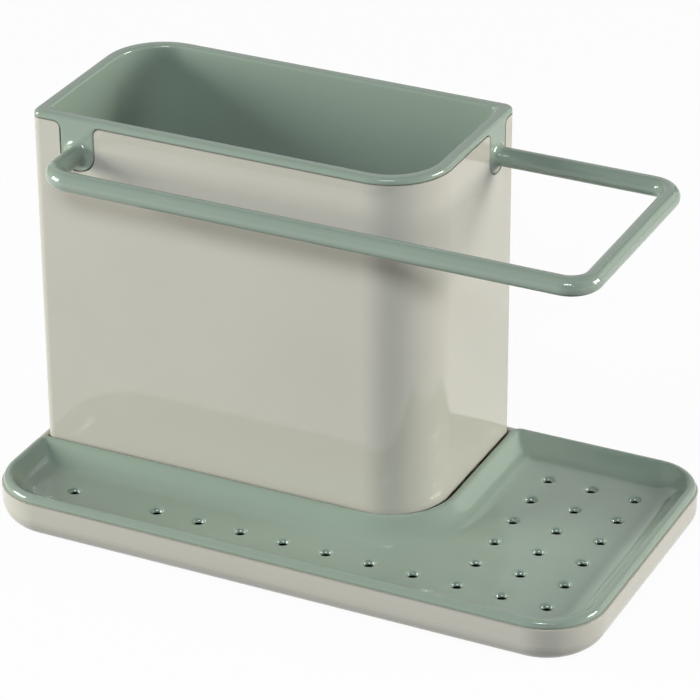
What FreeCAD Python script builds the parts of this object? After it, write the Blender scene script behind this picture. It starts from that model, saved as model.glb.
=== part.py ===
"""Kitchen sink caddy: a tall box with a lift-out liner and cloth rail, beside an L-shaped drip tray,
both standing in a shallow base tray.

Frame: millimetres, X along the length, Y to the back, Z up,
origin on the ground under the middle of the base.
"""
import FreeCAD, Part
import math
import os

V = FreeCAD.Vector

# Ground taken up in front of the shell and beside it
strip_depth = 38.8
bay_length = 69.2

# Base tray
base_corner = 19.5
base_bay_corner = 16.5
base_wall = 1.8
base_floor = 2.0
base_round = 7.4
base_seam_height = 12.7
base_open_wall_rise = 1.3
base_top_chamfer = 0.5

# Feet stuck under the base
foot_side = 12.0
foot_corner_cut = 2.0
foot_height = 1.0

# Caddy shell, which stands in the back left corner of the base
shell_length = 133.5
shell_depth = 67.6
shell_height = 114.5
shell_wall = 2.0
shell_floor = 2.0
shell_big_corner = 20.0
shell_small_corner = 3.0
shell_chamfer = 2.0
shell_lift = 10.3
shell_clearance = 0.5

# Liner: pot, rim, tongues and rail in one moulding
liner_wall = 1.7
liner_floor = 2.0
liner_clearance = 0.3
liner_small_corner = 2.5
rim_height = 2.2
rim_chamfer = 1.3
rim_chamfer_inside = 0.8
seam_gap = 0.25

# Tongues of the liner and the notches for them
tongue_width = 11.5
tongue_drop = 15.2
tongue_front_inset = 16.0
tongue_side_inset = 13.5
tongue_flare = 2.3
tongue_clearance = 0.35

# Rail for the dish cloth
rail_diameter = 6.2
rail_drop = 9.4
rail_front_reach = 18.9
rail_side_reach = 59.1
rail_bend = 7.5
rail_root_flare = 1.9

# Drain slots in the floors of liner and shell
drain_length = 30.0
drain_width = 5.0
drain_pitch = 26.0
drain_extra = 3.0

# Drip tray
tray_inset = 0.6
tray_sheet = 1.6
tray_lip_height = 2.6
tray_lip_chamfer = 1.0
tray_depth = 5.6
tray_wall_height = 3.6
tray_wall_run = 1.9
tray_crease_run = 2.8
tray_end_round = 4.0
tray_inner_corner = 3.2
tray_clearance = 0.4
tray_shell_gap = 0.8
tray_hole_diameter = 3.2
tray_hole_pitch = 14.75
tray_row_pitch = 14.1
tray_field_right = 0.9
tray_field_forward = 0.45
tray_plain_position = 1

# Ribs in the base
rib_thickness = 1.6
rib_count = 3
rib_end_gap = 8.0
weep_width = 14.0
weep_height = 3.0

# Levels
base_underside = foot_height
base_floor_top = base_underside + base_floor
base_seam = base_underside + base_seam_height
base_open_top = base_seam + base_open_wall_rise
shell_bottom = base_floor_top + shell_lift
shell_top = shell_bottom + shell_height
shell_floor_top = shell_bottom + shell_floor
rim_underside = shell_top + seam_gap
rim_top = rim_underside + rim_height
liner_floor_top = shell_floor_top + liner_floor
rail_level = shell_top - rail_drop
tongue_bottom = shell_top - tongue_drop
tray_rim_top = base_seam + tray_lip_height
tray_floor_top = tray_rim_top - tray_depth
tray_underside = tray_floor_top - tray_sheet

# Plan of the base: the shell stands clear of its left and back walls
base_length = base_wall + shell_clearance + shell_length + bay_length
base_depth = base_wall + shell_clearance + shell_depth + strip_depth

# Plan of the shell
shell_left = -base_length / 2 + base_wall + shell_clearance
shell_right = shell_left + shell_length
shell_back = base_depth / 2 - base_wall - shell_clearance
shell_front = shell_back - shell_depth
tongue_x = shell_left + tongue_front_inset
tongue_y = shell_back - tongue_side_inset

# Plan of the drip tray
tray_half_length = base_length / 2 - tray_inset
tray_half_depth = base_depth / 2 - tray_inset
tray_corner = base_corner - tray_inset
tray_bay_left = shell_right + tray_shell_gap
tray_strip_back = shell_front - tray_shell_gap
divider_wall = base_wall - tray_inset
skirt_offset = divider_wall + tray_clearance
lip_width = skirt_offset + tray_sheet

# How far cutting bodies run past what they cut, and what counts as the same place
cut_margin = 5.0
tolerance = 1e-4


def offset(corners, inward):
    """Moves every side of a right-angled plan inward; corner radii follow."""
    moved = []
    for index, (x, y, radius) in enumerate(corners):
        before = V(*corners[index - 1][:2], 0)
        here = V(x, y, 0)
        after = V(*corners[(index + 1) % len(corners)][:2], 0)
        come = (here - before).normalize()
        leave = (after - here).normalize()
        shift = (V(-come.y, come.x, 0) + V(-leave.y, leave.x, 0)) * inward
        convex = come.cross(leave).z > 0
        grown = radius - inward if convex else radius + inward
        moved.append((x + shift.x, y + shift.y, grown))
    return moved


def least_radius(corners, least):
    """Keeps small corners of an inner plan round, as far as their sides leave room."""
    rounded = []
    for index, (x, y, radius) in enumerate(corners):
        here = V(x, y, 0)
        sides = [here - V(*corners[other % len(corners)][:2], 0) for other in (index - 1, index + 1)]
        room = min(side.Length for side in sides) / 2
        rounded.append((x, y, min(max(radius, least), room)))
    return rounded


def plan_wire(corners, level):
    """A closed wire of straight sides and tangent quarter arcs."""
    stretches = []
    for index, (x, y, radius) in enumerate(corners):
        before = V(*corners[index - 1][:2], 0)
        here = V(x, y, 0)
        after = V(*corners[(index + 1) % len(corners)][:2], 0)
        start = here - (here - before).normalize() * radius
        end = here + (after - here).normalize() * radius
        centre = start + end - here
        middle = centre + (here - centre).normalize() * radius
        stretches.append([point + V(0, 0, level) for point in (start, middle, end)])
    edges = []
    for index, (start, middle, end) in enumerate(stretches):
        edges.append(Part.LineSegment(stretches[index - 1][2], start).toShape())
        edges.append(Part.Arc(start, middle, end).toShape())
    return Part.Wire(edges)


def prism(corners, bottom, top):
    """A straight-sided solid on a plan."""
    return Part.Face(plan_wire(corners, bottom)).extrude(V(0, 0, top - bottom))


def tapered(bottom_corners, bottom, top_corners, top):
    """A solid with sloping sides between two plans."""
    return Part.makeLoft([plan_wire(bottom_corners, bottom), plan_wire(top_corners, top)], True, True)


def box(x0, x1, y0, y1, z0, z1):
    """A box between two corners."""
    return Part.makeBox(x1 - x0, y1 - y0, z1 - z0, V(x0, y0, z0))


def edges_at(shape, level):
    """The edges that lie in one horizontal plane."""
    flat = []
    for edge in shape.Edges:
        bounds = edge.BoundBox
        if abs(bounds.ZMin - level) < tolerance and abs(bounds.ZMax - level) < tolerance:
            flat.append(edge)
    return flat


def rectangle(x0, x1, y0, y1, front_left, front_right, back_right, back_left):
    """A four-cornered plan with a radius for each corner."""
    return [(x0, y0, front_left), (x1, y0, front_right), (x1, y1, back_right), (x0, y1, back_left)]


def base_plan():
    half_length = base_length / 2
    half_depth = base_depth / 2
    return rectangle(-half_length, half_length, -half_depth, half_depth,
                     base_corner, base_corner, base_bay_corner, base_corner)


def shell_plan():
    return rectangle(shell_left, shell_right, shell_front, shell_back,
                     shell_small_corner, shell_big_corner, shell_small_corner, shell_big_corner)


def tray_plan():
    """The L that is left of the base beside and in front of the shell."""
    return [
        (-tray_half_length, -tray_half_depth, tray_corner),
        (tray_half_length, -tray_half_depth, tray_corner),
        (tray_half_length, tray_half_depth, base_bay_corner - tray_inset),
        (tray_bay_left, tray_half_depth, tray_end_round),
        (tray_bay_left, tray_strip_back, shell_big_corner + tray_shell_gap),
        (-tray_half_length, tray_strip_back, tray_end_round),
    ]


def foot_centres():
    x = base_length / 2 - base_corner
    y = base_depth / 2 - base_corner
    return {
        "foot_front_left": V(-x, -y, 0),
        "foot_front_right": V(x, -y, 0),
        "foot_back_left": V(-x, y, 0),
        "foot_back_right": V(x, y, 0),
    }


def divider(room):
    """The wall round the shell's place, which carries the inner lip of the drip tray."""
    reach = base_length
    place = rectangle(-reach, tray_bay_left, tray_strip_back, reach,
                      base_wall, shell_big_corner + tray_shell_gap, base_wall, base_wall)
    outside = offset(place, -divider_wall)
    hollow = prism(place, base_underside - cut_margin, base_seam + cut_margin)
    return prism(outside, base_underside, base_seam).cut(hollow).common(room)


def weep_slots():
    """Slots at the foot of the divider, so that drips from the shell reach the tray's side."""
    level = base_floor_top
    x = (shell_left + shell_right - shell_big_corner) / 2
    y = (shell_front + shell_big_corner + shell_back) / 2
    half = weep_width / 2
    front = box(x - half, x + half, tray_strip_back - divider_wall - cut_margin, tray_strip_back + cut_margin,
                level, level + weep_height)
    side = box(tray_bay_left - cut_margin, tray_bay_left + divider_wall + cut_margin, y - half, y + half,
               level, level + weep_height)
    return [front, side]


def support_ribs():
    """Ribs that carry the shell above the water."""
    spacing = shell_length / (rib_count + 1)
    bottom = base_floor_top - base_floor / 2
    ribs = []
    for index in range(rib_count):
        x = shell_left + spacing * (index + 1)
        ribs.append(box(x - rib_thickness / 2, x + rib_thickness / 2,
                        shell_front + rib_end_gap, shell_back - rib_end_gap, bottom, shell_bottom))
    return ribs


def base_room(outward):
    """The hollow of the base, or the same grown into its walls and floor."""
    level = base_floor_top - outward
    room = prism(offset(base_plan(), base_wall - outward), level, base_open_top + cut_margin)
    return room.makeChamfer(base_round - base_wall + outward, edges_at(room, level))


def make_base_tray():
    plan = base_plan()
    body = prism(plan, base_underside, base_open_top)
    body = body.makeFillet(base_round, edges_at(body, base_underside))
    body = body.cut(base_room(0.0))
    body = body.cut(above_tray())
    body = body.makeChamfer(base_top_chamfer, long_edges(edges_at(body, base_open_top)))
    body = body.fuse([divider(base_room(base_wall / 2))] + support_ribs())
    return body.cut(weep_slots()).removeSplitter()


def above_tray():
    """What is cut from the base's wall above the seam: it stands up only behind and beside the shell."""
    top = base_open_top + cut_margin
    ground = prism(offset(base_plan(), -cut_margin), base_seam, top)
    beside_shell = box(-base_length, tray_bay_left + tray_end_round / 2,
                       tray_strip_back - tray_end_round / 2, base_depth,
                       base_seam - cut_margin, top + cut_margin)
    tray = prism(offset(tray_plan(), -tray_clearance), base_seam, top)
    return ground.cut(beside_shell).fuse(tray)


def long_edges(edges):
    """Leaves out the short edges across the ends of a wall."""
    return [edge for edge in edges if edge.Length > 2 * base_wall]


def make_foot(centre):
    half = foot_side / 2
    pad = box(-half, half, -half, half, 0.0, foot_height)
    corners = [edge for edge in pad.Edges if edge.BoundBox.ZLength > foot_height / 2]
    return pad.makeChamfer(foot_corner_cut, corners).translated(centre)


def tray_hole_places():
    """A row along the front strip, and a field that fills the bay at the right on the same pitch."""
    inner = lip_width + tray_wall_run + tray_crease_run
    bay_middle = (tray_bay_left + tray_half_length) / 2 + tray_field_right
    bay_room = tray_half_length - tray_bay_left - 2 * inner
    columns = int(bay_room / tray_hole_pitch)
    rows = int((2 * tray_half_depth - 2 * inner) / tray_row_pitch)
    first_x = bay_middle - tray_hole_pitch * (columns - 1) / 2
    first_y = -tray_row_pitch * (rows - 1) / 2 - tray_field_forward
    places = []
    for row in range(rows):
        for column in range(columns):
            places.append(V(first_x + tray_hole_pitch * column, first_y + tray_row_pitch * row, 0))
    left_end = -tray_half_length + tray_corner
    row_count = round((first_x - left_end) / tray_hole_pitch)
    for step in range(1, row_count + 1):
        if row_count - step != tray_plain_position:
            places.append(V(first_x - tray_hole_pitch * step, first_y, 0))
    return places


def make_drip_tray():
    plan = tray_plan()

    def ring(inward):
        return least_radius(offset(plan, inward), tray_inner_corner)

    lip_edge = tray_rim_top - tray_lip_chamfer
    wall_foot = tray_rim_top - tray_wall_height
    floor_inset = tray_wall_run + tray_crease_run
    lip = prism(plan, base_seam, lip_edge)
    bead = tapered(plan, lip_edge, offset(plan, tray_lip_chamfer), tray_rim_top)
    skirt = tapered(ring(skirt_offset + floor_inset), tray_underside, ring(skirt_offset), base_seam)
    body = lip.fuse([bead, skirt])
    crease = ring(lip_width + tray_wall_run)
    floor_room = tapered(ring(lip_width + floor_inset), tray_floor_top, crease, wall_foot)
    wall_room = tapered(crease, wall_foot, ring(lip_width), tray_rim_top)
    body = body.cut([floor_room, wall_room])
    bore = Part.makeCylinder(tray_hole_diameter / 2, tray_sheet + 2 * cut_margin,
                             V(0, 0, tray_underside - cut_margin))
    return body.cut([bore.translated(place) for place in tray_hole_places()]).removeSplitter()


def tongue_outline(half_width, bottom, flare, top):
    """A tongue seen from the front: straight sides, round end, flared where it leaves the rim."""
    end = bottom + half_width
    neck = shell_top - flare
    diagonal = flare / math.sqrt(2)
    wide = half_width + flare

    def half(side):
        corner = V(side * wide, 0, neck)
        return [V(side * wide, 0, shell_top), corner + V(-side * diagonal, 0, diagonal),
                V(side * half_width, 0, neck), V(side * half_width, 0, end)]

    left = half(-1)
    right = half(1)
    return Part.Wire([
        Part.Arc(*left[:3]).toShape(),
        Part.LineSegment(left[2], left[3]).toShape(),
        Part.Arc(left[3], V(0, 0, bottom), right[3]).toShape(),
        Part.LineSegment(right[3], right[2]).toShape(),
        Part.Arc(right[2], right[1], right[0]).toShape(),
        Part.LineSegment(right[0], V(wide, 0, top)).toShape(),
        Part.LineSegment(V(wide, 0, top), V(-wide, 0, top)).toShape(),
        Part.LineSegment(V(-wide, 0, top), left[0]).toShape(),
    ])


def at_tongues(make):
    """Places a shape made at the origin, facing -Y, at both tongues."""
    front = make()
    front.translate(V(tongue_x, shell_front, 0))
    side = make()
    side.rotate(V(0, 0, 0), V(0, 0, 1), 90)
    side.translate(V(shell_right, tongue_y, 0))
    return [front, side]


def make_tongue():
    depth = shell_wall + liner_clearance + liner_wall / 2
    outline = tongue_outline(tongue_width / 2, tongue_bottom, tongue_flare, rim_top - rim_chamfer)
    return Part.Face(outline).extrude(V(0, depth, 0))


def make_notch():
    half_width = tongue_width / 2 + tongue_clearance
    outline = tongue_outline(half_width, tongue_bottom - tongue_clearance,
                             tongue_flare - tongue_clearance, shell_top + cut_margin)
    notch = Part.Face(outline).extrude(V(0, shell_wall + 2 * cut_margin, 0))
    return notch.translated(V(0, -cut_margin, 0))


def drain_slots(extra):
    """Slots across the pot's floor, larger in the shell than in the liner that stands on it."""
    room = shell_length - 2 * shell_big_corner
    count = int(room / drain_pitch) + 1
    middle_x = (shell_left + shell_right) / 2
    middle_y = (shell_front + shell_back) / 2
    half_width = (drain_width + extra) / 2
    half_length = (drain_length + extra) / 2
    slots = []
    for index in range(count):
        x = middle_x + drain_pitch * (index - (count - 1) / 2)
        slots.append(box(x - half_width, x + half_width, middle_y - half_length, middle_y + half_length,
                         shell_bottom - cut_margin, liner_floor_top + cut_margin))
    return slots


def make_caddy_shell():
    plan = shell_plan()
    body = prism(plan, shell_bottom, shell_top)
    body = body.makeChamfer(shell_chamfer, edges_at(body, shell_bottom))
    body = body.cut(prism(offset(plan, shell_wall), shell_floor_top, shell_top + cut_margin))
    return body.cut(at_tongues(make_notch) + drain_slots(drain_extra))


def rail_path():
    """The rail's centre line: out of the front tongue, round the tray and back to the side tongue."""
    front = shell_front - rail_front_reach
    right = shell_right + rail_side_reach
    root = shell_wall / 2
    points = [
        V(tongue_x, shell_front + root, rail_level),
        V(tongue_x, front, rail_level),
        V(right, front, rail_level),
        V(right, tongue_y, rail_level),
        V(shell_right - root, tongue_y, rail_level),
    ]
    edges = []
    last = points[0]
    for before, here, after in zip(points, points[1:], points[2:]):
        start = here + (before - here).normalize() * rail_bend
        end = here + (after - here).normalize() * rail_bend
        centre = start + end - here
        middle = centre + (here - centre).normalize() * rail_bend
        edges.append(Part.LineSegment(last, start).toShape())
        edges.append(Part.Arc(start, middle, end).toShape())
        last = end
    edges.append(Part.LineSegment(last, points[-1]).toShape())
    return Part.Wire(edges)


def make_rail():
    path = rail_path()
    start = path.Edges[0].valueAt(path.Edges[0].FirstParameter)
    section = Part.Wire(Part.makeCircle(rail_diameter / 2, start, V(0, -1, 0)))
    return path.makePipeShell([section], True, False)


def root_edges(shape):
    """The two circles where the rail leaves the tongues."""
    places = [V(tongue_x, shell_front, rail_level), V(shell_right, tongue_y, rail_level)]
    found = []
    for edge in shape.Edges:
        bounds = edge.BoundBox
        flat = min(bounds.XLength, bounds.YLength) < tolerance
        small = bounds.DiagonalLength < 2 * rail_diameter
        if flat and small and any((bounds.Center - place).Length < tolerance for place in places):
            found.append(edge)
    return found


def rim_top_edges(shape):
    """The outer and the inner edges of the rim's flat top."""
    top = [face for face in shape.Faces
           if len(face.Wires) == 2 and abs(face.BoundBox.ZMin - rim_top) < tolerance][0]
    inner = [wire for wire in top.Wires if not wire.isSame(top.OuterWire)][0]
    return top.OuterWire.Edges, inner.Edges


def make_caddy_liner():
    plan = shell_plan()
    outside = shell_wall + liner_clearance
    inside = outside + liner_wall

    def ring(inward):
        return least_radius(offset(plan, inward), liner_small_corner)

    pot = prism(ring(outside), shell_floor_top, rim_underside)
    body = pot.fuse(prism(plan, rim_underside, rim_top))
    body = body.cut(prism(ring(inside), liner_floor_top, rim_top))
    body = body.makeChamfer(rim_chamfer, rim_top_edges(body)[0])
    body = body.makeChamfer(rim_chamfer_inside, rim_top_edges(body)[1])
    body = body.fuse(at_tongues(make_tongue) + [make_rail()]).removeSplitter()
    body = body.makeChamfer(rail_root_flare, root_edges(body))
    return body.cut(drain_slots(0.0))


def main():
    pieces = {
        "base_tray": make_base_tray(),
        "drip_tray": make_drip_tray(),
        "caddy_shell": make_caddy_shell(),
        "caddy_liner": make_caddy_liner(),
    }
    for name, centre in foot_centres().items():
        pieces[name] = make_foot(centre)
    os.makedirs("parts", exist_ok=True)
    for name, shape in pieces.items():
        print(name, "valid", shape.isValid(), "solids", len(shape.Solids), "volume", round(shape.Volume, 1))
        shape.exportStep("parts/" + name + ".step")


main()
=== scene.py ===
"""Kitchen sink caddy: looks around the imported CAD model, in its frame.

Shapes are worked out in millimetres and degrees, and objects stand in metres.
"""

import math

import bpy
from mathutils import Matrix, Vector
from mathutils.geometry import delaunay_2d_cdt


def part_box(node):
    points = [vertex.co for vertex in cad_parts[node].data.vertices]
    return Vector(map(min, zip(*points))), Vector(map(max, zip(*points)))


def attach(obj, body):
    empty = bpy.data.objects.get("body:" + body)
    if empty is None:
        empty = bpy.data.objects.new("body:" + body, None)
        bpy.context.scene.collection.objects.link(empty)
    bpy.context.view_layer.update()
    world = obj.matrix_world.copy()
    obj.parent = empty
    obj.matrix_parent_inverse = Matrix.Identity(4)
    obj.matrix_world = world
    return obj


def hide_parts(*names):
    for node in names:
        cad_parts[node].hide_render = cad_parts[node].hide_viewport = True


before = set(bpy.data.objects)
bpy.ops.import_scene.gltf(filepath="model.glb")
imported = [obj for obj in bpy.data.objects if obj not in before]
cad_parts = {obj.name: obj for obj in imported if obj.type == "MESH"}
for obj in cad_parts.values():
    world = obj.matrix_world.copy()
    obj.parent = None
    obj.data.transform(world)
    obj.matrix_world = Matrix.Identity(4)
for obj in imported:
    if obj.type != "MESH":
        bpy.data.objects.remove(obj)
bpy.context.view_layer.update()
scene = bpy.context.scene
scene.view_settings.view_transform = "Standard"

MM = 0.001


def box_mm(node):
    low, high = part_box(node)
    return low / MM, high / MM


SHELL_LOW, SHELL_HIGH = box_mm("caddy_shell")
TRAY_LOW, TRAY_HIGH = box_mm("drip_tray")
LINER_LOW, LINER_HIGH = box_mm("caddy_liner")


# Turns, as cosines and sines

def quarter_turn(steps):
    turns = [math.pi / 2 * step / steps for step in range(steps + 1)]
    return [(math.cos(turn), math.sin(turn)) for turn in turns]


def full_turn(steps):
    turns = [2 * math.pi * step / steps for step in range(steps)]
    return [(math.cos(turn), math.sin(turn)) for turn in turns]


# Plans: right-angled outlines with a radius at each corner

def sides_at(corners, index):
    """A corner's place, and the directions of the sides that come to it and leave it."""
    here = Vector(corners[index][:2])
    before = Vector(corners[index - 1][:2])
    after = Vector(corners[(index + 1) % len(corners)][:2])
    return here, (here - before).normalized(), (after - here).normalized()


def offset(corners, inward, least=0.0):
    """Moves every side inward. The corner radii follow, but stay at least this large."""
    moved = []
    for index, (x, y, radius) in enumerate(corners):
        _, come, leave = sides_at(corners, index)
        shift = Vector((-come.y - leave.y, come.x + leave.x)) * inward
        grown = radius - inward if come.cross(leave) > 0 else radius + inward
        moved.append((x + shift.x, y + shift.y, max(grown, least)))
    return moved


def arcs(corners, steps):
    """The points round each corner."""
    found = []
    for index, corner in enumerate(corners):
        here, come, leave = sides_at(corners, index)
        start = here - come * corner[2]
        end = here + leave * corner[2]
        centre = start + end - here
        found.append([centre + (start - centre) * c + (end - centre) * s for c, s in quarter_turn(steps)])
    return found


def outline(corners, steps):
    return [point for arc in arcs(corners, steps) for point in arc]


def rectangle(x0, x1, y0, y1, radius):
    return [(x0, y0, radius), (x1, y0, radius), (x1, y1, radius), (x0, y1, radius)]


# Profiles: points in a section, each an inward distance and a level

def arc_profile(centre_in, centre_z, radius, start, end, steps):
    points = []
    for step in range(steps + 1):
        turn = math.radians(start + (end - start) * step / steps)
        points.append((centre_in + radius * math.cos(turn), centre_z + radius * math.sin(turn)))
    return points


def bezier_profile(p0, p1, p2, p3, steps):
    """The points of a curve, without its first one."""
    points = []
    for step in range(1, steps + 1):
        t = step / steps
        a, b, c, d = (1 - t) ** 3, 3 * t * (1 - t) ** 2, 3 * t * t * (1 - t), t ** 3
        points.append(tuple(a * p0[i] + b * p1[i] + c * p2[i] + d * p3[i] for i in (0, 1)))
    return points


def up_slope(point, distance, slope):
    """A point further up a wall of this slope."""
    turn = math.radians(slope)
    return point[0] + distance * math.cos(turn), point[1] + distance * math.sin(turn)


# Meshes in the making

TRIANGLES_INSIDE = 1
SAME_PLACE = 1e-6


class Shape:
    """Points in mm and faces."""

    def __init__(self):
        self.points = []
        self.faces = []

    def ring(self, points):
        first = len(self.points)
        self.points += [tuple(point) for point in points]
        return list(range(first, len(self.points)))

    def level_ring(self, flat_points, level):
        return self.ring([(point[0], point[1], level) for point in flat_points])

    def strip(self, lower, upper):
        """Quads between two rings; outward for rings that run counter-clockwise and rise."""
        for here in range(len(lower)):
            after = (here + 1) % len(lower)
            self.faces.append((lower[here], lower[after], upper[after], upper[here]))

    def strips(self, rings):
        for lower, upper in zip(rings, rings[1:]):
            self.strip(lower, upper)

    def flat(self, indices):
        return [Vector(self.points[index][:2]) for index in indices]

    def fill(self, border, holes, faces_up):
        """Fills the flat region between a border and the holes in it."""
        indices = []
        edges = []
        for loop in [border] + holes:
            first = len(indices)
            count = len(loop)
            indices += loop
            edges += [(first + step, first + (step + 1) % count) for step in range(count)]
        cutouts = [self.flat(hole) for hole in holes]
        corners, _, triangles, origins, _, _ = delaunay_2d_cdt(
            self.flat(indices), edges, [], TRIANGLES_INSIDE, SAME_PLACE)
        for triangle in triangles:
            middle = sum((corners[index] for index in triangle), Vector((0, 0))) / 3
            if any(inside(middle, cutout) for cutout in cutouts):
                continue
            face = [indices[origins[index][0]] for index in triangle]
            self.faces.append(face if faces_up else face[::-1])

    def mesh(self, name):
        mesh = bpy.data.meshes.new(name)
        mesh.from_pydata([Vector(point) * MM for point in self.points], [], self.faces)
        mesh.validate()
        return mesh


def inside(point, polygon):
    crossings = 0
    for start, end in zip(polygon, polygon[1:] + polygon[:1]):
        if (start.y > point.y) != (end.y > point.y):
            x = start.x + (point.y - start.y) / (end.y - start.y) * (end.x - start.x)
            crossings += x > point.x
    return crossings % 2 == 1


def add_object(name, data):
    piece = bpy.data.objects.new(name, data)
    scene.collection.objects.link(piece)
    return piece


def shade(mesh, sharp_angle):
    mesh.shade_smooth()
    mesh.set_sharp_from_angle(angle=math.radians(sharp_angle))


def weigh_normals(piece):
    weigh = piece.modifiers.new("normals", "WEIGHTED_NORMAL")
    weigh.keep_sharp = True


def stand_for(piece, node, body):
    """The piece is shown in place of a CAD node."""
    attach(piece, body)
    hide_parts(node)


# Drip tray

tray_corner = 18.9
tray_bay_corner = 15.9
tray_end_round = 4.0
tray_inner_corner = 1.2
tray_edge_band = 0.8
tray_strip_gap = 0.4
tray_bay_gap = 0.55
shell_big_corner = 20.0
shell_small_corner = 3.0
tray_lip_height = 2.6
tray_sheet = 1.6
tray_depth = 5.6
tray_bead = 1.7
tray_bead_end = 48
tray_wall_reach = 12.5
tray_wall_handles = 2.2, 6.0
# The groove under the bead: inward distances and heights over the lip's underside
tray_groove = [(0.5, 0.0), (0.42, 0.08), (0.2, 0.16), (0.06, 0.24), (0.0, 0.36)]
skirt_handle_in = 2.7
skirt_handle_drop = 2.1
skirt_foot_handle = 7.0
skirt_foot_inset = 0.6
hole_pitch = 14.75
hole_row_pitch = 14.1
hole_columns = 3
hole_rows = 6
hole_row_length = 9
hole_plain_step = 8
hole_field_right = 1.03
hole_field_forward = 0.45
hole_radius = 1.45
hole_dish_width = 0.65
hole_dish_depth = 0.26
hole_dish_handles = 0.4, 0.24
hole_dish_slope = 32
hole_bowl_width = 0.63
hole_bowl_depth = 1.35
hole_bowl_handle = 0.45
hole_bowl_slopes = 81, 49
hole_burr = 0.12

corner_steps = 14
bead_steps = 15
wall_steps = 16
skirt_steps = 10
hole_steps = 28
dish_steps = 5
bowl_steps = 6
tray_sharp_angle = 40

tray_floor = TRAY_HIGH.z - tray_depth
tray_lip = TRAY_HIGH.z - tray_lip_height
bay_left = SHELL_HIGH.x + tray_bay_gap


def tray_plan():
    x, y = TRAY_HIGH.x, TRAY_HIGH.y
    strip_back = SHELL_LOW.y - tray_strip_gap
    return [(-x, -y, tray_corner), (x, -y, tray_corner), (x, y, tray_bay_corner),
            (bay_left, y, tray_end_round), (bay_left, strip_back, shell_big_corner + tray_strip_gap),
            (-x, strip_back, tray_end_round)]


def tray_top_profile():
    """From the lip's underside over the bead and down the hollow wall to the floor."""
    points = [(inward, tray_lip + height) for inward, height in tray_groove]
    points += arc_profile(tray_bead, TRAY_HIGH.z - tray_bead, tray_bead, 180, tray_bead_end, bead_steps)
    bead_foot = points[-1]
    points += bezier_profile(bead_foot, up_slope(bead_foot, tray_wall_handles[0], tray_bead_end - 90),
                             (tray_wall_reach - tray_wall_handles[1], tray_floor),
                             (tray_wall_reach, tray_floor), wall_steps)
    return points


def tray_bottom_profile():
    """From the lip's underside down the skirt to the underside of the floor."""
    skirt_top = (tray_sheet, tray_lip)
    return [skirt_top] + bezier_profile(skirt_top, (skirt_handle_in, tray_lip - skirt_handle_drop),
                                        (tray_wall_reach - skirt_foot_handle, TRAY_LOW.z),
                                        (tray_wall_reach - skirt_foot_inset, TRAY_LOW.z), skirt_steps)


def tray_rings(shape, profile):
    """Rings round the tray. The least corner radius holds inside the band along the edge."""
    plan = tray_plan()
    rings = []
    for inward, level in profile:
        least = tray_inner_corner if inward > tray_edge_band else 0.0
        rings.append(shape.level_ring(outline(offset(plan, inward, least), corner_steps), level))
    return rings


def hole_places():
    bay_middle = (bay_left + TRAY_HIGH.x) / 2 + hole_field_right
    first_x = bay_middle - hole_pitch * (hole_columns - 1) / 2
    first_y = -hole_row_pitch * (hole_rows - 1) / 2 - hole_field_forward
    places = [(first_x + hole_pitch * column, first_y + hole_row_pitch * row)
              for row in range(hole_rows) for column in range(hole_columns)]
    places += [(first_x - hole_pitch * step, first_y)
               for step in range(1, hole_row_length + 1) if step != hole_plain_step]
    return places


def hole_profile():
    """From the floor over the dished brim and down the bowl to the underside: radii and levels."""
    edge = (hole_radius + hole_bowl_width, tray_floor - hole_dish_depth)
    brim = (edge[0] + hole_dish_width, tray_floor)
    throat = (hole_radius, tray_floor - hole_bowl_depth)
    points = [brim]
    points += bezier_profile(brim, (brim[0] - hole_dish_handles[0], tray_floor),
                             up_slope(edge, hole_dish_handles[1], hole_dish_slope), edge, dish_steps)
    points += bezier_profile(edge, up_slope(edge, -hole_bowl_handle, hole_bowl_slopes[0]),
                             up_slope(throat, hole_bowl_handle, hole_bowl_slopes[1]), throat, bowl_steps)
    return points + [(hole_radius, TRAY_LOW.z + hole_burr), (hole_radius + hole_burr, TRAY_LOW.z)]


def make_tray():
    shape = Shape()
    top_rings = tray_rings(shape, tray_top_profile())
    bottom_rings = tray_rings(shape, tray_bottom_profile())
    shape.strips(top_rings)
    shape.strips(bottom_rings[::-1] + top_rings[:1])
    tops, bottoms = [], []
    for x, y in hole_places():
        rings = [shape.ring([(x + radius * c, y + radius * s, level) for c, s in full_turn(hole_steps)])
                 for radius, level in hole_profile()]
        shape.strips(rings)
        tops.append(rings[0])
        bottoms.append(rings[-1])
    shape.fill(top_rings[-1], tops, True)
    shape.fill(bottom_rings[-1], bottoms, False)
    mesh = shape.mesh("drip_tray_moulding")
    shade(mesh, tray_sharp_angle)
    piece = add_object("drip_tray_moulding", mesh)
    stand_for(piece, "drip_tray", "tray")
    return piece


# Liner: pot, rim, tongues and rail in one moulding

tongue_width = 11.5
tongue_drop = 15.2
tongue_front_inset = 16.0
tongue_side_inset = 13.5
tongue_flare = 2.3
tongue_edge_round = 0.45
seam_gap = 0.25
shell_wall = 2.0
liner_clearance = 0.3
liner_wall = 1.7
liner_floor = 2.0
liner_small_corner = 2.5
liner_floor_round = 3.0
liner_bottom_round = 1.0
rim_outer_round = 1.5
rim_inner_round = 1.1
rail_radius = 3.1
rail_drop = 9.4
rail_bend = 7.5
rail_sunk = 0.8
rail_root_round = 2.2
# Where the hollow root of the rail is drawn: distances from the tongue, closest where it flares most
rail_root_places = [0.012, 0.04, 0.09, 0.18, 0.32, 0.55, 0.85, 1.25, 1.7, rail_root_round]
drain_length = 30.0
drain_width = 5.0
drain_corner = 1.5
drain_pitch = 26.0
drain_count = 4
drain_edge = 0.5
drain_edge_middle = 0.15
side_margin = 0.4

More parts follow.
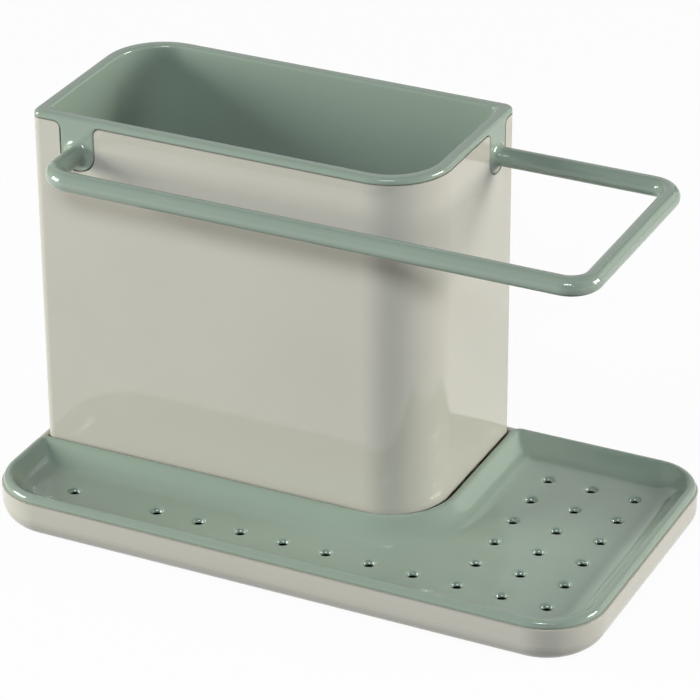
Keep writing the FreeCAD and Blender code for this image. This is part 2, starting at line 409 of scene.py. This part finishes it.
flare_steps = 7
tongue_side_steps = 4
tongue_end_steps = 12
tongue_edge_steps = 4
bottom_round_steps = 4
rim_outer_steps = 8
rim_inner_steps = 6
floor_round_steps = 8
drain_corner_steps = 5
rail_steps = 28
rail_bend_steps = 16
liner_sharp_angle = 38

tongue_x = SHELL_LOW.x + tongue_front_inset
tongue_y = SHELL_HIGH.y - tongue_side_inset
rail_level = SHELL_HIGH.z - rail_drop
rim_underside = SHELL_HIGH.z + seam_gap


def shell_plan():
    return [(SHELL_LOW.x, SHELL_LOW.y, shell_small_corner), (SHELL_HIGH.x, SHELL_LOW.y, shell_big_corner),
            (SHELL_HIGH.x, SHELL_HIGH.y, shell_small_corner), (SHELL_LOW.x, SHELL_HIGH.y, shell_big_corner)]


def tongue_edge():
    """A tongue's edge from left to right: places along the side, levels, and directions into the tongue."""
    half = tongue_width / 2
    neck = rim_underside - tongue_flare
    end = SHELL_HIGH.z - tongue_drop + half
    left = []
    for across, up in quarter_turn(flare_steps)[::-1]:
        left.append((-half - tongue_flare + tongue_flare * across, neck + tongue_flare * up, across, up))
    for step in range(1, tongue_side_steps):
        left.append((-half, neck + (end - neck) * step / tongue_side_steps, 1.0, 0.0))
    for across, up in quarter_turn(tongue_end_steps):
        left.append((-half * across, end - half * up, across, up))
    return left + [(-place, level, -across, up) for place, level, across, up in left[-2::-1]]


def liner_ring(shape, inward, level, edge, rise=None):
    """A ring at one inward distance.

    With a rise, it has no level of its own: it follows the lower edge of rim and tongues at that distance.
    """
    corner_arcs = arcs(offset(shell_plan(), inward, liner_small_corner), corner_steps)
    corner_level = level if rise is None else rim_underside + rise

    def along_side(room_before, room_after):
        if rise is not None:
            return [(place + across * rise, edge_level + up * rise)
                    for place, edge_level, across, up in edge]
        start = max(edge[0][0], room_before + side_margin)
        end = min(edge[-1][0], room_after - side_margin)
        return [(start + (end - start) * index / (len(edge) - 1), level) for index in range(len(edge))]

    rows = [[(p.x, p.y, corner_level) for p in arc] for arc in corner_arcs]
    front = [(tongue_x + place, SHELL_LOW.y + inward, z)
             for place, z in along_side(rows[0][-1][0] - tongue_x, rows[1][0][0] - tongue_x)]
    side = [(SHELL_HIGH.x - inward, tongue_y + place, z)
            for place, z in along_side(rows[1][-1][1] - tongue_y, rows[2][0][1] - tongue_y)]
    return shape.ring(rows[0] + front + rows[1] + side + rows[2] + rows[3])


def drain_slots(shape, floor, underside):
    """The walls of the slots in the pot's floor. Gives their upper and their lower rings."""
    middle_x = (SHELL_LOW.x + SHELL_HIGH.x) / 2
    middle_y = (SHELL_LOW.y + SHELL_HIGH.y) / 2
    profile = [(drain_edge, floor), (drain_edge_middle, floor - drain_edge_middle),
               (0.0, floor - drain_edge), (0.0, underside)]
    tops, bottoms = [], []
    for index in range(drain_count):
        x = middle_x + drain_pitch * (index - (drain_count - 1) / 2)
        slot = rectangle(x - drain_width / 2, x + drain_width / 2,
                         middle_y - drain_length / 2, middle_y + drain_length / 2, drain_corner)
        rings = [shape.level_ring(outline(offset(slot, -out), drain_corner_steps), level)
                 for out, level in profile]
        shape.strips(rings)
        tops.append(rings[0])
        bottoms.append(rings[-1])
    return tops, bottoms


def make_pot():
    shape = Shape()
    edge = tongue_edge()
    outside = shell_wall + liner_clearance
    inner = outside + liner_wall
    underside = LINER_LOW.z
    floor = underside + liner_floor
    top = LINER_HIGH.z
    below = arc_profile(outside + liner_bottom_round, underside + liner_bottom_round, liner_bottom_round,
                        270, 180, bottom_round_steps)
    above = arc_profile(rim_outer_round, top - rim_outer_round, rim_outer_round, 180, 90, rim_outer_steps)
    above += arc_profile(inner - rim_inner_round, top - rim_inner_round, rim_inner_round,
                         90, 0, rim_inner_steps)
    above += arc_profile(inner + liner_floor_round, floor + liner_floor_round, liner_floor_round,
                         180, 270, floor_round_steps)
    rings = [liner_ring(shape, inward, level, edge) for inward, level in below]
    rings.append(liner_ring(shape, outside, None, edge, 0.0))
    rings += [liner_ring(shape, tongue_edge_round * (1 - s), None, edge, tongue_edge_round * (1 - c))
              for c, s in quarter_turn(tongue_edge_steps)]
    rings += [liner_ring(shape, inward, level, edge) for inward, level in above]
    shape.strips(rings)
    tops, bottoms = drain_slots(shape, floor, underside)
    shape.fill(rings[-1], tops, True)
    shape.fill(rings[0], bottoms, False)
    return shape.mesh("caddy_liner_pot")


def rail_stations():
    """Points on the rail's centre line, each with its direction and the tube's radius there."""
    front = LINER_LOW.y + rail_radius
    right = LINER_HIGH.x - rail_radius
    corners = [Vector((tongue_x, SHELL_LOW.y)), Vector((tongue_x, front)), Vector((right, front)),
               Vector((right, tongue_y)), Vector((SHELL_HIGH.x, tongue_y))]
    root = [-rail_sunk] + rail_root_places

    def radius_at(distance):
        clear = min(max(distance, rail_root_places[0]), rail_root_round)
        drop = math.sqrt(rail_root_round ** 2 - (rail_root_round - clear) ** 2)
        return rail_radius + rail_root_round - drop

    ahead = (corners[1] - corners[0]).normalized()
    stations = [(corners[0] + ahead * distance, ahead, radius_at(distance)) for distance in root]
    for before, here, after in zip(corners, corners[1:], corners[2:]):
        come = (here - before).normalized()
        leave = (after - here).normalized()
        centre = here - come * rail_bend + leave * rail_bend
        for c, s in quarter_turn(rail_bend_steps):
            place = centre - leave * rail_bend * c + come * rail_bend * s
            stations.append((place, come * c + leave * s, rail_radius))
    ahead = (corners[-1] - corners[-2]).normalized()
    stations += [(corners[-1] - ahead * distance, ahead, radius_at(distance)) for distance in root[::-1]]
    return stations


def make_rail():
    shape = Shape()
    rings = []
    for place, ahead, radius in rail_stations():
        circle = [(radius * c, radius * s) for c, s in full_turn(rail_steps)]
        rings.append(shape.ring([(place.x + ahead.y * out, place.y - ahead.x * out, rail_level + up)
                                 for out, up in circle]))
    for before, after in zip(rings, rings[1:]):
        shape.strip(after, before)
    shape.faces.append(tuple(rings[0]))
    shape.faces.append(tuple(rings[-1][::-1]))
    return shape.mesh("caddy_liner_rail")


def joined(mesh, other):
    """The union of two closed meshes."""
    piece = add_object("join_piece", mesh)
    tool = add_object("join_tool", other)
    union = piece.modifiers.new("union", "BOOLEAN")
    union.operation = "UNION"
    union.solver = "EXACT"
    union.object = tool
    bpy.context.view_layer.update()
    graph = bpy.context.evaluated_depsgraph_get()
    result = bpy.data.meshes.new_from_object(piece.evaluated_get(graph))
    bpy.data.objects.remove(piece)
    bpy.data.objects.remove(tool)
    return result


def make_liner():
    mesh = joined(make_pot(), make_rail())
    mesh.name = "caddy_liner_moulding"
    shade(mesh, liner_sharp_angle)
    piece = add_object("caddy_liner_moulding", mesh)
    weigh_normals(piece)
    stand_for(piece, "caddy_liner", "liner")
    return piece


# Camera: the photo's view as fitted, with angles in radians and the focal length in pixels

view_azimuth = 0.452359
view_elevation = 0.486824
view_roll = -0.0053466
view_distance = 1126.19
view_target = 0.46, 1.63, 61.0
focal_pixels = 3632.89
photo_pixels = 700
sensor_width = 36


def make_camera():
    back = Vector((math.sin(view_azimuth) * math.cos(view_elevation),
                   -math.cos(view_azimuth) * math.cos(view_elevation),
                   math.sin(view_elevation)))
    right = Vector((math.cos(view_azimuth), math.sin(view_azimuth), 0))
    up = back.cross(right)
    c, s = math.cos(view_roll), math.sin(view_roll)
    right, up = c * right + s * up, c * up - s * right
    place = Vector(view_target) * MM + back * (view_distance * MM)
    data = bpy.data.cameras.new("camera")
    data.sensor_width = sensor_width
    data.lens = focal_pixels / photo_pixels * sensor_width
    camera = add_object("camera", data)
    camera.matrix_world = Matrix((
        (right.x, up.x, back.x, place.x),
        (right.y, up.y, back.y, place.y),
        (right.z, up.z, back.z, place.z),
        (0, 0, 0, 1)))
    scene.camera = camera


# Materials: texture scales count per metre, reliefs are in mm, and levels multiply a colour or roughness

STONE = (0.556, 0.535, 0.442)
SAGE = (0.302, 0.373, 0.291)
RUBBER = (0.35, 0.35, 0.34)

gloss_roughness = 0.07
lined_roughness = 0.09
rubber_roughness = 0.55
plastic_ior = 1.5
mottle_scale = 22
mottle_detail = 3
mottle_ends = 0.3, 0.7
mottle_levels = 0.975, 1.015
speck_scale = 95
# A speck's radius counts in cells, and only the cells over the threshold have one
speck_radius = 0.02
speck_threshold = 0.72
speck_level = 0.72
smear_scale = 45
smear_detail = 5
smear_ends = 0.35, 0.75
smear_levels = 0.85, 1.5
wave_scale = 34
wave_detail = 1
wave_relief = 0.02
grain_scale = 700
grain_detail = 2
grain_relief = 0.0008
line_stretch = (6, 6, 500)
line_detail = 2
line_relief = 0.14


def new_material(name):
    material = bpy.data.materials.new(name)
    material.use_nodes = True
    nodes = material.node_tree.nodes
    nodes.clear()
    return material, nodes, material.node_tree.links


def times(colour, level):
    return (*[channel * level for channel in colour], 1)


def worked_out(nodes, links, operation, *values):
    """The result of a math node. Each value is a number or another node's output."""
    node = nodes.new("ShaderNodeMath")
    node.operation = operation
    for socket, value in zip(node.inputs, values):
        if isinstance(value, (int, float)):
            socket.default_value = value
        else:
            links.new(value, socket)
    return node.outputs[0]


def noise(nodes, links, vector, scale, detail):
    texture = nodes.new("ShaderNodeTexNoise")
    texture.inputs["Scale"].default_value = scale
    texture.inputs["Detail"].default_value = detail
    links.new(vector, texture.inputs["Vector"])
    return texture.outputs["Fac"]


def bump(nodes, links, height, relief, below):
    """Adds relief, in mm, over the relief below it."""
    node = nodes.new("ShaderNodeBump")
    node.inputs["Strength"].default_value = 1.0
    node.inputs["Distance"].default_value = relief * MM
    links.new(height, node.inputs["Height"])
    if below:
        links.new(below, node.inputs["Normal"])
    return node.outputs["Normal"]


def mottled(nodes, links, place, colour):
    """The colour with a faint mottle and a few small dark specks."""
    tint = nodes.new("ShaderNodeValToRGB")
    for stop, position, level in zip(tint.color_ramp.elements, mottle_ends, mottle_levels):
        stop.position = position
        stop.color = times(colour, level)
    links.new(noise(nodes, links, place, mottle_scale, mottle_detail), tint.inputs["Fac"])
    cells = nodes.new("ShaderNodeTexVoronoi")
    cells.inputs["Scale"].default_value = speck_scale
    links.new(place, cells.inputs["Vector"])
    near = worked_out(nodes, links, "LESS_THAN", cells.outputs["Distance"], speck_radius)
    chosen = worked_out(nodes, links, "GREATER_THAN", cells.outputs["Color"], speck_threshold)
    specked = nodes.new("ShaderNodeMix")
    specked.data_type = "RGBA"
    links.new(worked_out(nodes, links, "MULTIPLY", near, chosen), specked.inputs["Factor"])
    links.new(tint.outputs["Color"], specked.inputs["A"])
    specked.inputs["B"].default_value = times(colour, speck_level)
    return specked.outputs["Result"]


def smeared(nodes, links, place, roughness):
    """The roughness with faint smears."""
    gloss = nodes.new("ShaderNodeMapRange")
    gloss.inputs["From Min"].default_value = smear_ends[0]
    gloss.inputs["From Max"].default_value = smear_ends[1]
    gloss.inputs["To Min"].default_value = roughness * smear_levels[0]
    gloss.inputs["To Max"].default_value = roughness * smear_levels[1]
    links.new(noise(nodes, links, place, smear_scale, smear_detail), gloss.inputs["Value"])
    return gloss.outputs["Result"]


def skin(nodes, links, place, lined):
    """A slightly wavy skin with a fine grain and, where lined, with fine level lines."""
    relief = bump(nodes, links, noise(nodes, links, place, wave_scale, wave_detail), wave_relief, None)
    relief = bump(nodes, links, noise(nodes, links, place, grain_scale, grain_detail), grain_relief, relief)
    if lined:
        stretch = nodes.new("ShaderNodeMapping")
        stretch.inputs["Scale"].default_value = line_stretch
        links.new(place, stretch.inputs["Vector"])
        lines = noise(nodes, links, stretch.outputs["Vector"], 1, line_detail)
        relief = bump(nodes, links, lines, line_relief, relief)
    return relief


def moulded(name, colour, roughness, lined=False):
    """A moulded plastic or rubber."""
    material, nodes, links = new_material(name)
    out = nodes.new("ShaderNodeOutputMaterial")
    shader = nodes.new("ShaderNodeBsdfPrincipled")
    shader.inputs["IOR"].default_value = plastic_ior
    place = nodes.new("ShaderNodeTexCoord").outputs["Object"]
    links.new(mottled(nodes, links, place, colour), shader.inputs["Base Color"])
    links.new(smeared(nodes, links, place, roughness), shader.inputs["Roughness"])
    links.new(skin(nodes, links, place, lined), shader.inputs["Normal"])
    links.new(shader.outputs[0], out.inputs[0])
    return material


def dress(piece, material):
    piece.data.materials.clear()
    piece.data.materials.append(material)


# Round edges on the CAD meshes

weld_distance = 0.002
edge_segments = 3
edge_angle = 28
base_edge = 0.25
shell_edge = 0.3


def soften(piece, width):
    weld = piece.modifiers.new("weld", "WELD")
    weld.merge_threshold = weld_distance * MM
    bevel = piece.modifiers.new("edges", "BEVEL")
    bevel.width = width * MM
    bevel.segments = edge_segments
    bevel.limit_method = "ANGLE"
    bevel.angle_limit = math.radians(edge_angle)
    bevel.harden_normals = True
    weigh_normals(piece)


# Stage and light, in metres

floor_half = 6.0
floor_tone = 0.2
floor_tone_seen = 0.85
floor_glow_share = 0.95
ambient = 0.03
lamp_aim = Vector((0, 0, 0.06))
lamp_distance = 1.6
cool_white = (0.823, 0.885, 1.0)
backdrop = {"azimuth": 118, "elevation": 27, "distance": 2.0, "size": (2.0, 1.8)}


def mixed(nodes, links, share, first, second):
    """A mix of two shaders."""
    mix = nodes.new("ShaderNodeMixShader")
    links.new(share, mix.inputs[0])
    links.new(first.outputs[0], mix.inputs[1])
    links.new(second.outputs[0], mix.inputs[2])
    return mix.outputs[0]


def make_floor():
    """A floor that looks white, also in reflections, and lights the object only a little."""
    mesh = bpy.data.meshes.new("floor")
    corners = [(-floor_half, -floor_half, 0), (floor_half, -floor_half, 0),
               (floor_half, floor_half, 0), (-floor_half, floor_half, 0)]
    mesh.from_pydata(corners, [], [(0, 1, 2, 3)])
    floor = add_object("floor", mesh)
    material, nodes, links = new_material("floor_look")
    out = nodes.new("ShaderNodeOutputMaterial")
    matt = nodes.new("ShaderNodeBsdfDiffuse")
    glow = nodes.new("ShaderNodeEmission")
    glow.inputs["Strength"].default_value = 1.0
    path = nodes.new("ShaderNodeLightPath").outputs
    seen = worked_out(nodes, links, "MAXIMUM", path["Is Camera Ray"], path["Is Glossy Ray"])
    tone = nodes.new("ShaderNodeMix")
    tone.data_type = "RGBA"
    tone.inputs["A"].default_value = (floor_tone, floor_tone, floor_tone, 1)
    tone.inputs["B"].default_value = (floor_tone_seen, floor_tone_seen, floor_tone_seen, 1)
    links.new(seen, tone.inputs["Factor"])
    links.new(tone.outputs["Result"], matt.inputs["Color"])
    share = worked_out(nodes, links, "MULTIPLY", seen, floor_glow_share)
    links.new(mixed(nodes, links, share, matt, glow), out.inputs[0])
    mesh.materials.append(material)


def make_world():
    """White to the camera, and a faint light on the object."""
    world = bpy.data.worlds.new("world")
    scene.world = world
    world.use_nodes = True
    nodes, links = world.node_tree.nodes, world.node_tree.links
    nodes.clear()
    out = nodes.new("ShaderNodeOutputWorld")
    path = nodes.new("ShaderNodeLightPath").outputs
    seen = worked_out(nodes, links, "MAXIMUM", path["Is Camera Ray"], path["Is Transmission Ray"])
    room = nodes.new("ShaderNodeBackground")
    room.inputs["Strength"].default_value = ambient
    white = nodes.new("ShaderNodeBackground")
    white.inputs["Strength"].default_value = 1.0
    links.new(mixed(nodes, links, seen, room, white), out.inputs[0])


def make_lamp(name, azimuth, elevation, size, power, distance=lamp_distance, colour=(1, 1, 1)):
    """An area lamp that faces the object; azimuth from +X towards +Y."""
    a, e = math.radians(azimuth), math.radians(elevation)
    out = Vector((math.cos(a) * math.cos(e), math.sin(a) * math.cos(e), math.sin(e)))
    data = bpy.data.lights.new(name, "AREA")
    data.shape = "RECTANGLE"
    data.size, data.size_y = size
    data.energy = power
    data.color = colour
    lamp = add_object(name, data)
    lamp.location = lamp_aim + out * distance
    lamp.rotation_euler = out.to_track_quat("Z", "Y").to_euler()
    return lamp


# The scene

stone = moulded("stone_plastic_look", STONE, gloss_roughness)
lined_stone = moulded("stone_plastic_lined_look", STONE, lined_roughness, lined=True)
sage = moulded("sage_plastic_look", SAGE, gloss_roughness)
rubber = moulded("foot_rubber_look", RUBBER, rubber_roughness)

for moulding in (make_tray(), make_liner()):
    dress(moulding, sage)
looks = {"base_tray": lined_stone, "caddy_shell": stone, "caddy_liner": sage, "drip_tray": sage}
for name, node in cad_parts.items():
    dress(node, looks.get(name, rubber))
soften(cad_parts["base_tray"], base_edge)
soften(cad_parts["caddy_shell"], shell_edge)

make_camera()
make_floor()
make_world()
make_lamp("left_softbox", azimuth=208, elevation=13.5, size=(0.75, 0.65), power=27)
make_lamp("front_softbox", azimuth=287, elevation=40, size=(0.6, 0.28), power=12.0, colour=cool_white)
make_lamp("right_softbox", azimuth=20, elevation=14, size=(0.6, 0.6), power=21.5)
make_lamp("front_strip", azimuth=307, elevation=18, size=(0.02, 0.2), power=0.5)
make_lamp("right_fill", azimuth=58, elevation=18, size=(0.9, 0.7), power=1.9)
# The white backdrop shows in reflections, and lights the object only a little
make_lamp("backdrop_sheen", power=9, **backdrop).visible_diffuse = False
make_lamp("backdrop_light", power=4, **backdrop).visible_glossy = False
